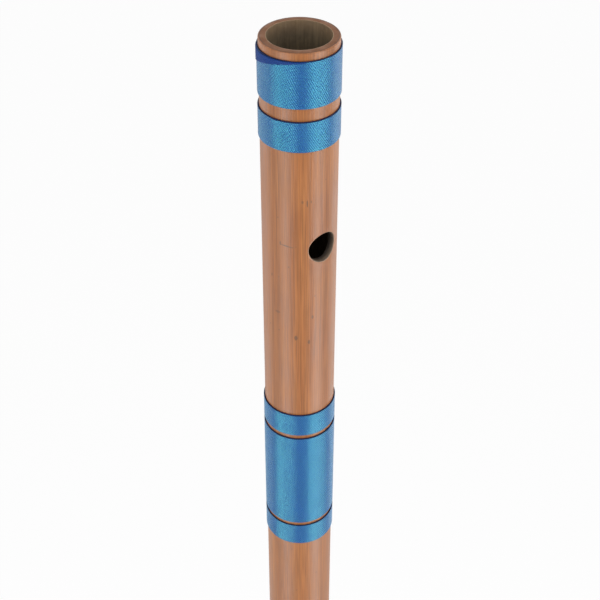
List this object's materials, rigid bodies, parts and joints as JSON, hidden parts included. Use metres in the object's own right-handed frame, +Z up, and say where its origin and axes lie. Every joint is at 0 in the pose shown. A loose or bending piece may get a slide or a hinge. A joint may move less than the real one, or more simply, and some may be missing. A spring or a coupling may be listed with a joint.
{
  "type": "bansuri",
  "caption": "Side-blown bamboo flute with open ends, a blow hole, finger holes in line, silk thread bindings and a sliding cork stopper in the bore.",
  "frame": {"origin": "centre of the foot end, on the bore's axis, where the flute stands", "axes": "+Z up the bore from the foot end to the head end; the blow hole and the finger holes face -Y"},
  "size_m": [0.0318, 0.0318, 0.755],
  "materials": {
    "bamboo": "oiled and rubbed bamboo, satin",
    "cork": "plain cork, matt",
    "thread": "blue silk thread, close wound, with a strong sheen"
  },
  "bodies": {
    "flute": {"bamboo_tube": "bamboo", "head_wide_binding": "thread", "head_narrow_binding": "thread", "middle_upper_binding": "thread", "middle_wide_binding": "thread", "middle_lower_binding": "thread", "foot_narrow_binding": "thread", "foot_wide_binding": "thread"},
    "stopper": {"stopper_cork": "cork"}
  },
  "joints": [
    {"name": "stopper_slide", "type": "slide", "parent": "flute", "child": "stopper", "axis": [0, 0, 1], "range_m": [-0.006, 0.044]}
  ]
}
